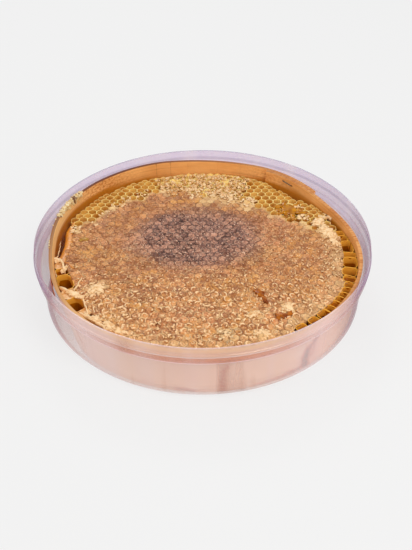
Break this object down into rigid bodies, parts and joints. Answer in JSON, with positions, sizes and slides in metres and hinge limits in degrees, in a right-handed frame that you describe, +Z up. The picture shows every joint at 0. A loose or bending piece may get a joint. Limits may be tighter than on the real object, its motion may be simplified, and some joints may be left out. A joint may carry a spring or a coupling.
{
  "type": "honeycomb piece",
  "caption": "Round piece of capped honeycomb grown inside a bent wooden hoop, standing in a shallow clear round tub without its lid.",
  "frame": {"origin": "centre of the tub's base, on the surface that it stands on", "axes": "+Z up, the lap of the hoop and its staple towards +X +Y, the margin of torn wax towards +Y"},
  "size_m": [0.23, 0.23, 0.045],
  "materials": {
    "clear_plastic": "clear and glossy",
    "bent_wood": "bare, satin",
    "capped_comb": "waxy, wet",
    "staple_steel": "dull"
  },
  "bodies": {
    "root": {"clear_tub": "clear_plastic", "wood_hoop": "bent_wood", "honeycomb": "capped_comb", "staple": "staple_steel"}
  },
  "joints": []
}
